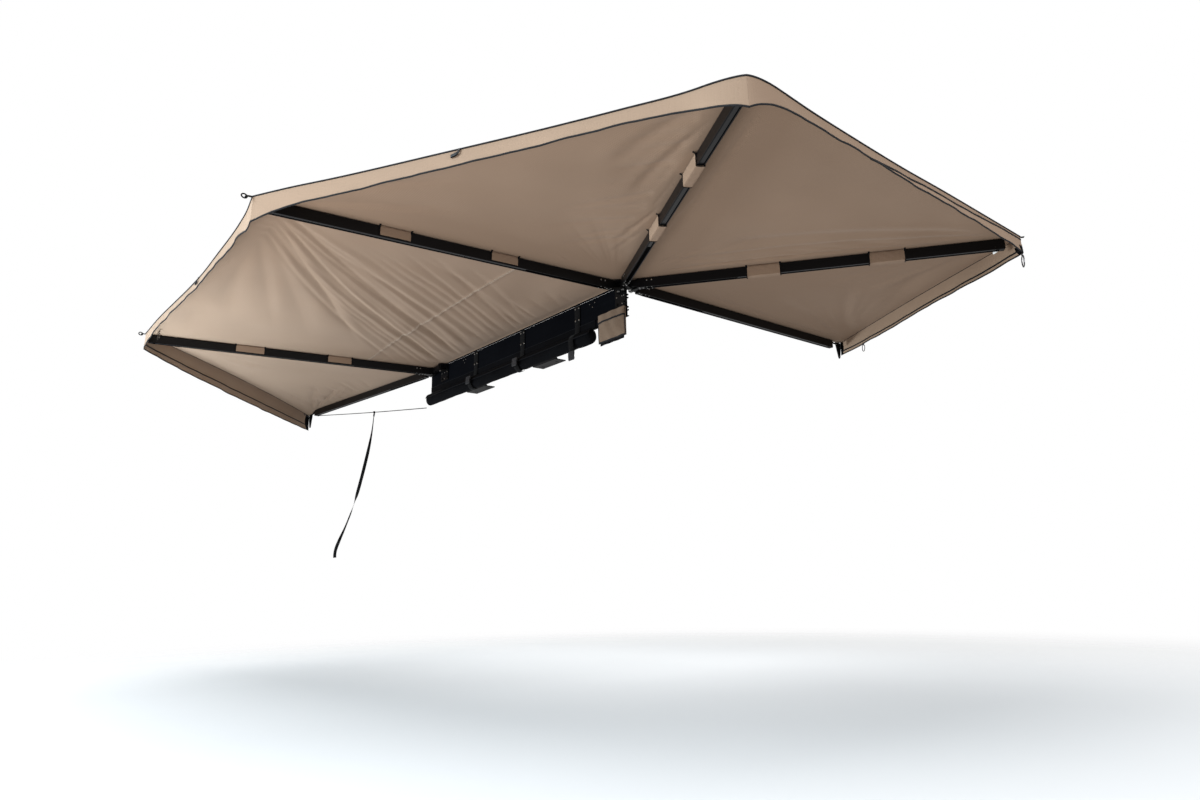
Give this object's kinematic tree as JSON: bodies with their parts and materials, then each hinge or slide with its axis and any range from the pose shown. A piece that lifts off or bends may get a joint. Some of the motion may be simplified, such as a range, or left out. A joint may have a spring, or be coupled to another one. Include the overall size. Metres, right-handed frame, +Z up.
{
  "type": "vehicle side awning",
  "caption": "Wrap-around vehicle side awning: folding arms with telescopic legs on a backing rail, fabric canopy with hanging skirts, rolled travel cover, straps, pocket and guy rope.",
  "frame": {"origin": "centre of the underside of the rear rack bracket's foot, the face that bolts down on the roof rack", "axes": "+X forward along the backing rail, from the rear hub to the front hub; +Y outboard, away from the vehicle; +Z up"},
  "size_m": [5.9562, 3.9346, 1.3354],
  "materials": {
    "arm_black": "satin",
    "knuckle_black": "satin",
    "leg_black": "satin",
    "rail_black": "satin",
    "bolt_steel": "satin",
    "canopy_fabric": "matte",
    "loop_fabric": "matte",
    "pocket_fabric": "matte",
    "cover_pvc": "satin",
    "webbing_black": "matte",
    "rope_black": "matte",
    "buckle_grey": "matte",
    "corner_plastic": "matte"
  },
  "bodies": {
    "fixed_base": {"backing_rail": "rail_black", "rear_hub_bracket": "knuckle_black", "front_hub_bracket": "knuckle_black", "rear_hub_pivot_bolt": "bolt_steel", "front_hub_pivot_bolt": "bolt_steel", "rack_bracket_rear": "knuckle_black", "rack_bracket_front": "knuckle_black", "rear_bracket_bolt_1": "bolt_steel", "rear_bracket_bolt_2": "bolt_steel", "front_bracket_bolt_1": "bolt_steel", "front_bracket_bolt_2": "bolt_steel", "travel_cover": "cover_pvc", "cover_strap_rear": "webbing_black", "cover_strap_middle": "webbing_black", "cover_strap_front": "webbing_black", "strap_buckle_rear": "buckle_grey", "strap_buckle_middle": "buckle_grey", "strap_buckle_front": "buckle_grey", "storage_pocket": "pocket_fabric", "canopy_panel_de": "canopy_fabric"},
    "arm_d": {"arm_d_beam": "arm_black", "arm_d_knuckle": "knuckle_black", "arm_d_pivot_bolt": "bolt_steel", "arm_d_loops": "loop_fabric"},
    "leg_d_outer": {"leg_d_outer_tube": "leg_black"},
    "leg_d_inner": {"leg_d_inner_tube": "leg_black"},
    "arm_c": {"arm_c_beam": "arm_black", "arm_c_knuckle": "knuckle_black", "arm_c_pivot_bolt": "bolt_steel", "arm_c_loops": "loop_fabric", "canopy_panel_cd": "canopy_fabric"},
    "leg_c_outer": {"leg_c_outer_tube": "leg_black"},
    "leg_c_inner": {"leg_c_inner_tube": "leg_black"},
    "arm_b": {"arm_b_beam": "arm_black", "arm_b_knuckle": "knuckle_black", "arm_b_pivot_bolt": "bolt_steel", "arm_b_loops": "loop_fabric", "canopy_panel_bc": "canopy_fabric"},
    "leg_b_outer": {"leg_b_outer_tube": "leg_black"},
    "leg_b_inner": {"leg_b_inner_tube": "leg_black"},
    "arm_a": {"arm_a_beam": "arm_black", "arm_a_knuckle": "knuckle_black", "canopy_panel_ab": "canopy_fabric", "arm_a_corner_fitting": "corner_plastic"},
    "leg_a_outer": {"leg_a_outer_tube": "leg_black"},
    "leg_a_inner": {"leg_a_inner_tube": "leg_black"},
    "arm_e": {"arm_e_beam": "arm_black", "arm_e_knuckle": "knuckle_black", "arm_e_pivot_bolt": "bolt_steel", "arm_e_loops": "loop_fabric"},
    "leg_e_outer": {"leg_e_outer_tube": "leg_black"},
    "leg_e_inner": {"leg_e_inner_tube": "leg_black"},
    "arm_f": {"arm_f_beam": "arm_black", "arm_f_knuckle": "knuckle_black", "canopy_panel_ef": "canopy_fabric", "arm_f_corner_fitting": "corner_plastic", "guy_rope": "rope_black", "tie_strap": "webbing_black"},
    "leg_f_outer": {"leg_f_outer_tube": "leg_black"},
    "leg_f_inner": {"leg_f_inner_tube": "leg_black"}
  },
  "joints": [
    {"name": "arm_d_swing", "type": "hinge", "parent": "fixed_base", "child": "arm_d", "pos_m": [-0.808, 0.10215, 0.239], "axis": [0, 0, 1], "range_deg": [-87.3, 0], "deforming": ["canopy_panel_de"]},
    {"name": "arm_c_swing", "type": "hinge", "parent": "arm_d", "child": "arm_c", "pos_m": [-0.84596, 0.10394, 0.239], "axis": [0, 0, 1], "range_deg": [-65.5, 0], "deforming": ["canopy_panel_cd"]},
    {"name": "arm_b_swing", "type": "hinge", "parent": "arm_c", "child": "arm_b", "pos_m": [-0.86333, 0.07014, 0.239], "axis": [0, 0, 1], "range_deg": [-65, 0], "deforming": ["canopy_panel_bc"]},
    {"name": "arm_a_swing", "type": "hinge", "parent": "arm_b", "child": "arm_a", "pos_m": [-0.84004, 0.04012, 0.239], "axis": [0, 0, 1], "range_deg": [-54.9, 0], "deforming": ["canopy_panel_ab"]},
    {"name": "arm_e_swing", "type": "hinge", "parent": "fixed_base", "child": "arm_e", "pos_m": [1.23802, 0.09704, 0.239], "axis": [0, 0, 1], "range_deg": [0, 96.5]},
    {"name": "arm_f_swing", "type": "hinge", "parent": "arm_e", "child": "arm_f", "pos_m": [1.43276, 0.07485, 0.239], "axis": [0, 0, 1], "range_deg": [0, 77.8], "deforming": ["canopy_panel_ef", "guy_rope", "tie_strap"]},
    {"name": "leg_d_swing", "type": "hinge", "parent": "arm_d", "child": "leg_d_outer", "pos_m": [-0.72203, 1.92512, 0.226], "axis": [0.9989, -0.0471, 0], "range_deg": [0, 90]},
    {"name": "leg_d_extend", "type": "slide", "parent": "leg_d_outer", "child": "leg_d_inner", "axis": [-0.0471, -0.9989, 0], "range_m": [0, 0.47]},
    {"name": "leg_c_swing", "type": "hinge", "parent": "arm_c", "child": "leg_c_outer", "pos_m": [-2.46914, 0.93814, 0.226], "axis": [0.4571, 0.8894, 0], "range_deg": [0, 90], "deforming": ["arm_c_loops"]},
    {"name": "leg_c_extend", "type": "slide", "parent": "leg_c_outer", "child": "leg_c_inner", "axis": [0.8894, -0.4571, 0], "range_m": [0, 0.47]},
    {"name": "leg_b_swing", "type": "hinge", "parent": "arm_b", "child": "leg_b_outer", "pos_m": [-2.30536, -1.04841, 0.226], "axis": [-0.6129, 0.7902, 0], "range_deg": [0, 90], "deforming": ["arm_b_loops"]},
    {"name": "leg_b_extend", "type": "slide", "parent": "leg_b_outer", "child": "leg_b_inner", "axis": [0.7902, 0.6129, 0], "range_m": [0, 0.47]},
    {"name": "leg_a_swing", "type": "hinge", "parent": "arm_a", "child": "leg_a_outer", "pos_m": [-0.75407, -1.78286, 0.226], "axis": [-0.9989, -0.0471, 0], "range_deg": [0, 90]},
    {"name": "leg_a_extend", "type": "slide", "parent": "leg_a_outer", "child": "leg_a_inner", "axis": [-0.0471, 0.9989, 0], "range_m": [0, 0.47]},
    {"name": "leg_e_swing", "type": "hinge", "parent": "arm_e", "child": "leg_e_outer", "pos_m": [1.6016, 1.89242, 0.226], "axis": [0.9936, -0.1132, 0], "range_deg": [0, 90]},
    {"name": "leg_e_extend", "type": "slide", "parent": "leg_e_outer", "child": "leg_e_inner", "axis": [-0.1132, -0.9936, 0], "range_m": [0, 0.47]},
    {"name": "leg_f_swing", "type": "hinge", "parent": "arm_f", "child": "leg_f_outer", "pos_m": [3.24873, 0.25611, 0.226], "axis": [0.0993, -0.9951, 0], "range_deg": [0, 90]},
    {"name": "leg_f_extend", "type": "slide", "parent": "leg_f_outer", "child": "leg_f_inner", "axis": [-0.9951, -0.0993, 0], "range_m": [0, 0.47]}
  ],
  "couplings": [
    {"joint": "arm_c_swing", "follows": "arm_d_swing", "ratio": 0.75029},
    {"joint": "arm_b_swing", "follows": "arm_d_swing", "ratio": 0.74456},
    {"joint": "arm_a_swing", "follows": "arm_d_swing", "ratio": 0.62887},
    {"joint": "arm_f_swing", "follows": "arm_e_swing", "ratio": 0.80622}
  ]
}
